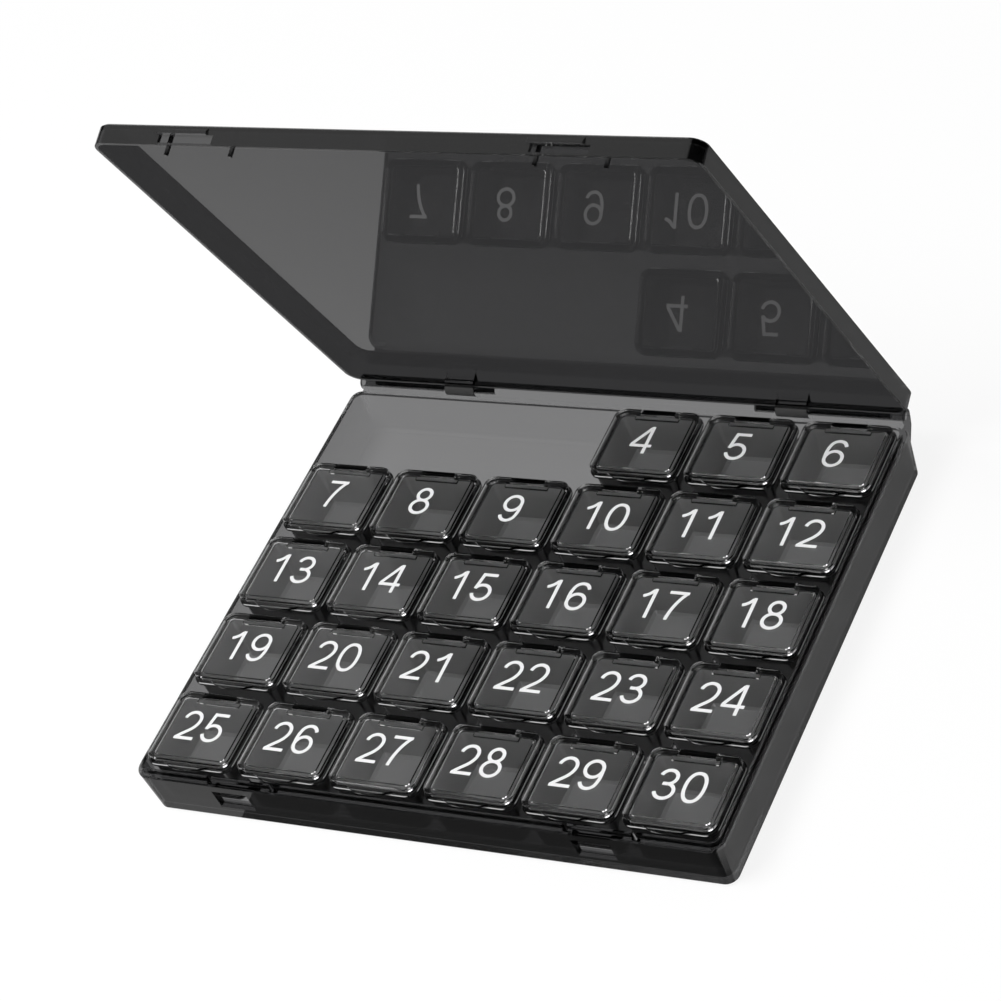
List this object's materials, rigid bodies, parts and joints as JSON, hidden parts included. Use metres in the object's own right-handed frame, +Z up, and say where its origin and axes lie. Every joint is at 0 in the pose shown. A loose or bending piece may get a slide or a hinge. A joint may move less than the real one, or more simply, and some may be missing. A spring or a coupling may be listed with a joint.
{
  "type": "monthly pill organizer",
  "caption": "Flat hinged case of smoke plastic with a tray of small lift-out pill boxes, each with its own flip lid, and two snap latches at the front.",
  "frame": {"origin": "middle of the case's underside", "axes": "+X along the hinges, +Y from the latches to the hinges, +Z up, as the case lies on a table"},
  "size_m": [0.1752, 0.1507, 0.1558],
  "materials": {
    "case_smoke": "smooth moulded smoke-black translucent plastic, glossy",
    "lid_smoke": "polished smoke-black translucent plastic panel, mirror gloss",
    "box_smoke": "smooth moulded smoke-black translucent plastic, glossy",
    "flip_lid_smoke": "polished smoke-grey translucent plastic with a white printed number",
    "pin_steel": "plain drawn steel"
  },
  "bodies": {
    "case": {"case_base": "case_smoke", "hinge_pin_left": "pin_steel", "hinge_pin_right": "pin_steel"},
    "case_lid": {"case_lid": "lid_smoke"},
    "box_04": {"box_04": "box_smoke"},
    "box_04_lid": {"box_04_lid": "flip_lid_smoke"},
    "box_05": {"box_05": "box_smoke"},
    "box_05_lid": {"box_05_lid": "flip_lid_smoke"},
    "box_06": {"box_06": "box_smoke"},
    "box_06_lid": {"box_06_lid": "flip_lid_smoke"},
    "box_07": {"box_07": "box_smoke"},
    "box_07_lid": {"box_07_lid": "flip_lid_smoke"},
    "box_08": {"box_08": "box_smoke"},
    "box_08_lid": {"box_08_lid": "flip_lid_smoke"},
    "box_09": {"box_09": "box_smoke"},
    "box_09_lid": {"box_09_lid": "flip_lid_smoke"},
    "box_10": {"box_10": "box_smoke"},
    "box_10_lid": {"box_10_lid": "flip_lid_smoke"},
    "box_11": {"box_11": "box_smoke"},
    "box_11_lid": {"box_11_lid": "flip_lid_smoke"},
    "box_12": {"box_12": "box_smoke"},
    "box_12_lid": {"box_12_lid": "flip_lid_smoke"},
    "box_13": {"box_13": "box_smoke"},
    "box_13_lid": {"box_13_lid": "flip_lid_smoke"},
    "box_14": {"box_14": "box_smoke"},
    "box_14_lid": {"box_14_lid": "flip_lid_smoke"},
    "box_15": {"box_15": "box_smoke"},
    "box_15_lid": {"box_15_lid": "flip_lid_smoke"},
    "box_16": {"box_16": "box_smoke"},
    "box_16_lid": {"box_16_lid": "flip_lid_smoke"},
    "box_17": {"box_17": "box_smoke"},
    "box_17_lid": {"box_17_lid": "flip_lid_smoke"},
    "box_18": {"box_18": "box_smoke"},
    "box_18_lid": {"box_18_lid": "flip_lid_smoke"},
    "box_19": {"box_19": "box_smoke"},
    "box_19_lid": {"box_19_lid": "flip_lid_smoke"},
    "box_20": {"box_20": "box_smoke"},
    "box_20_lid": {"box_20_lid": "flip_lid_smoke"},
    "box_21": {"box_21": "box_smoke"},
    "box_21_lid": {"box_21_lid": "flip_lid_smoke"},
    "box_22": {"box_22": "box_smoke"},
    "box_22_lid": {"box_22_lid": "flip_lid_smoke"},
    "box_23": {"box_23": "box_smoke"},
    "box_23_lid": {"box_23_lid": "flip_lid_smoke"},
    "box_24": {"box_24": "box_smoke"},
    "box_24_lid": {"box_24_lid": "flip_lid_smoke"},
    "box_25": {"box_25": "box_smoke"},
    "box_25_lid": {"box_25_lid": "flip_lid_smoke"},
    "box_26": {"box_26": "box_smoke"},
    "box_26_lid": {"box_26_lid": "flip_lid_smoke"},
    "box_27": {"box_27": "box_smoke"},
    "box_27_lid": {"box_27_lid": "flip_lid_smoke"},
    "box_28": {"box_28": "box_smoke"},
    "box_28_lid": {"box_28_lid": "flip_lid_smoke"},
    "box_29": {"box_29": "box_smoke"},
    "box_29_lid": {"box_29_lid": "flip_lid_smoke"},
    "box_30": {"box_30": "box_smoke"},
    "box_30_lid": {"box_30_lid": "flip_lid_smoke"}
  },
  "joints": [
    {"name": "case_lid_hinge", "type": "hinge", "parent": "case", "child": "case_lid", "pos_m": [0, 0.07483, 0.0158], "axis": [-1, 0, 0], "range_deg": [-70, 40]},
    {"name": "box_04_lift", "type": "slide", "parent": "case", "child": "box_04", "axis": [0, 0, 1], "range_m": [0, 0.017]},
    {"name": "box_04_lid_hinge", "type": "hinge", "parent": "box_04", "child": "box_04_lid", "pos_m": [0.0143, 0.06847, 0.0171], "axis": [-1, 0, 0], "range_deg": [0, 80]},
    {"name": "box_05_lift", "type": "slide", "parent": "case", "child": "box_05", "axis": [0, 0, 1], "range_m": [0, 0.017]},
    {"name": "box_05_lid_hinge", "type": "hinge", "parent": "box_05", "child": "box_05_lid", "pos_m": [0.0429, 0.06847, 0.0171], "axis": [-1, 0, 0], "range_deg": [0, 80]},
    {"name": "box_06_lift", "type": "slide", "parent": "case", "child": "box_06", "axis": [0, 0, 1], "range_m": [0, 0.017]},
    {"name": "box_06_lid_hinge", "type": "hinge", "parent": "box_06", "child": "box_06_lid", "pos_m": [0.0715, 0.06847, 0.0171], "axis": [-1, 0, 0], "range_deg": [0, 80]},
    {"name": "box_07_lift", "type": "slide", "parent": "case", "child": "box_07", "axis": [0, 0, 1], "range_m": [0, 0.017]},
    {"name": "box_07_lid_hinge", "type": "hinge", "parent": "box_07", "child": "box_07_lid", "pos_m": [-0.0715, 0.04007, 0.0171], "axis": [-1, 0, 0], "range_deg": [0, 105]},
    {"name": "box_08_lift", "type": "slide", "parent": "case", "child": "box_08", "axis": [0, 0, 1], "range_m": [0, 0.017]},
    {"name": "box_08_lid_hinge", "type": "hinge", "parent": "box_08", "child": "box_08_lid", "pos_m": [-0.0429, 0.04007, 0.0171], "axis": [-1, 0, 0], "range_deg": [0, 105]},
    {"name": "box_09_lift", "type": "slide", "parent": "case", "child": "box_09", "axis": [0, 0, 1], "range_m": [0, 0.017]},
    {"name": "box_09_lid_hinge", "type": "hinge", "parent": "box_09", "child": "box_09_lid", "pos_m": [-0.0143, 0.04007, 0.0171], "axis": [-1, 0, 0], "range_deg": [0, 105]},
    {"name": "box_10_lift", "type": "slide", "parent": "case", "child": "box_10", "axis": [0, 0, 1], "range_m": [0, 0.017]},
    {"name": "box_10_lid_hinge", "type": "hinge", "parent": "box_10", "child": "box_10_lid", "pos_m": [0.0143, 0.04007, 0.0171], "axis": [-1, 0, 0], "range_deg": [0, 105]},
    {"name": "box_11_lift", "type": "slide", "parent": "case", "child": "box_11", "axis": [0, 0, 1], "range_m": [0, 0.017]},
    {"name": "box_11_lid_hinge", "type": "hinge", "parent": "box_11", "child": "box_11_lid", "pos_m": [0.0429, 0.04007, 0.0171], "axis": [-1, 0, 0], "range_deg": [0, 105]},
    {"name": "box_12_lift", "type": "slide", "parent": "case", "child": "box_12", "axis": [0, 0, 1], "range_m": [0, 0.017]},
    {"name": "box_12_lid_hinge", "type": "hinge", "parent": "box_12", "child": "box_12_lid", "pos_m": [0.0715, 0.04007, 0.0171], "axis": [-1, 0, 0], "range_deg": [0, 105]},
    {"name": "box_13_lift", "type": "slide", "parent": "case", "child": "box_13", "axis": [0, 0, 1], "range_m": [0, 0.017]},
    {"name": "box_13_lid_hinge", "type": "hinge", "parent": "box_13", "child": "box_13_lid", "pos_m": [-0.0715, 0.01167, 0.0171], "axis": [-1, 0, 0], "range_deg": [0, 105]},
    {"name": "box_14_lift", "type": "slide", "parent": "case", "child": "box_14", "axis": [0, 0, 1], "range_m": [0, 0.017]},
    {"name": "box_14_lid_hinge", "type": "hinge", "parent": "box_14", "child": "box_14_lid", "pos_m": [-0.0429, 0.01167, 0.0171], "axis": [-1, 0, 0], "range_deg": [0, 105]},
    {"name": "box_15_lift", "type": "slide", "parent": "case", "child": "box_15", "axis": [0, 0, 1], "range_m": [0, 0.017]},
    {"name": "box_15_lid_hinge", "type": "hinge", "parent": "box_15", "child": "box_15_lid", "pos_m": [-0.0143, 0.01167, 0.0171], "axis": [-1, 0, 0], "range_deg": [0, 105]},
    {"name": "box_16_lift", "type": "slide", "parent": "case", "child": "box_16", "axis": [0, 0, 1], "range_m": [0, 0.017]},
    {"name": "box_16_lid_hinge", "type": "hinge", "parent": "box_16", "child": "box_16_lid", "pos_m": [0.0143, 0.01167, 0.0171], "axis": [-1, 0, 0], "range_deg": [0, 105]},
    {"name": "box_17_lift", "type": "slide", "parent": "case", "child": "box_17", "axis": [0, 0, 1], "range_m": [0, 0.017]},
    {"name": "box_17_lid_hinge", "type": "hinge", "parent": "box_17", "child": "box_17_lid", "pos_m": [0.0429, 0.01167, 0.0171], "axis": [-1, 0, 0], "range_deg": [0, 105]},
    {"name": "box_18_lift", "type": "slide", "parent": "case", "child": "box_18", "axis": [0, 0, 1], "range_m": [0, 0.017]},
    {"name": "box_18_lid_hinge", "type": "hinge", "parent": "box_18", "child": "box_18_lid", "pos_m": [0.0715, 0.01167, 0.0171], "axis": [-1, 0, 0], "range_deg": [0, 105]},
    {"name": "box_19_lift", "type": "slide", "parent": "case", "child": "box_19", "axis": [0, 0, 1], "range_m": [0, 0.017]},
    {"name": "box_19_lid_hinge", "type": "hinge", "parent": "box_19", "child": "box_19_lid", "pos_m": [-0.0715, -0.01673, 0.0171], "axis": [-1, 0, 0], "range_deg": [0, 105]},
    {"name": "box_20_lift", "type": "slide", "parent": "case", "child": "box_20", "axis": [0, 0, 1], "range_m": [0, 0.017]},
    {"name": "box_20_lid_hinge", "type": "hinge", "parent": "box_20", "child": "box_20_lid", "pos_m": [-0.0429, -0.01673, 0.0171], "axis": [-1, 0, 0], "range_deg": [0, 105]},
    {"name": "box_21_lift", "type": "slide", "parent": "case", "child": "box_21", "axis": [0, 0, 1], "range_m": [0, 0.017]},
    {"name": "box_21_lid_hinge", "type": "hinge", "parent": "box_21", "child": "box_21_lid", "pos_m": [-0.0143, -0.01673, 0.0171], "axis": [-1, 0, 0], "range_deg": [0, 105]},
    {"name": "box_22_lift", "type": "slide", "parent": "case", "child": "box_22", "axis": [0, 0, 1], "range_m": [0, 0.017]},
    {"name": "box_22_lid_hinge", "type": "hinge", "parent": "box_22", "child": "box_22_lid", "pos_m": [0.0143, -0.01673, 0.0171], "axis": [-1, 0, 0], "range_deg": [0, 105]},
    {"name": "box_23_lift", "type": "slide", "parent": "case", "child": "box_23", "axis": [0, 0, 1], "range_m": [0, 0.017]},
    {"name": "box_23_lid_hinge", "type": "hinge", "parent": "box_23", "child": "box_23_lid", "pos_m": [0.0429, -0.01673, 0.0171], "axis": [-1, 0, 0], "range_deg": [0, 105]},
    {"name": "box_24_lift", "type": "slide", "parent": "case", "child": "box_24", "axis": [0, 0, 1], "range_m": [0, 0.017]},
    {"name": "box_24_lid_hinge", "type": "hinge", "parent": "box_24", "child": "box_24_lid", "pos_m": [0.0715, -0.01673, 0.0171], "axis": [-1, 0, 0], "range_deg": [0, 105]},
    {"name": "box_25_lift", "type": "slide", "parent": "case", "child": "box_25", "axis": [0, 0, 1], "range_m": [0, 0.017]},
    {"name": "box_25_lid_hinge", "type": "hinge", "parent": "box_25", "child": "box_25_lid", "pos_m": [-0.0715, -0.04512, 0.0171], "axis": [-1, 0, 0], "range_deg": [0, 105]},
    {"name": "box_26_lift", "type": "slide", "parent": "case", "child": "box_26", "axis": [0, 0, 1], "range_m": [0, 0.017]},
    {"name": "box_26_lid_hinge", "type": "hinge", "parent": "box_26", "child": "box_26_lid", "pos_m": [-0.0429, -0.04512, 0.0171], "axis": [-1, 0, 0], "range_deg": [0, 105]},
    {"name": "box_27_lift", "type": "slide", "parent": "case", "child": "box_27", "axis": [0, 0, 1], "range_m": [0, 0.017]},
    {"name": "box_27_lid_hinge", "type": "hinge", "parent": "box_27", "child": "box_27_lid", "pos_m": [-0.0143, -0.04512, 0.0171], "axis": [-1, 0, 0], "range_deg": [0, 105]},
    {"name": "box_28_lift", "type": "slide", "parent": "case", "child": "box_28", "axis": [0, 0, 1], "range_m": [0, 0.017]},
    {"name": "box_28_lid_hinge", "type": "hinge", "parent": "box_28", "child": "box_28_lid", "pos_m": [0.0143, -0.04512, 0.0171], "axis": [-1, 0, 0], "range_deg": [0, 105]},
    {"name": "box_29_lift", "type": "slide", "parent": "case", "child": "box_29", "axis": [0, 0, 1], "range_m": [0, 0.017]},
    {"name": "box_29_lid_hinge", "type": "hinge", "parent": "box_29", "child": "box_29_lid", "pos_m": [0.0429, -0.04512, 0.0171], "axis": [-1, 0, 0], "range_deg": [0, 105]},
    {"name": "box_30_lift", "type": "slide", "parent": "case", "child": "box_30", "axis": [0, 0, 1], "range_m": [0, 0.017]},
    {"name": "box_30_lid_hinge", "type": "hinge", "parent": "box_30", "child": "box_30_lid", "pos_m": [0.0715, -0.04512, 0.0171], "axis": [-1, 0, 0], "range_deg": [0, 105]}
  ]
}
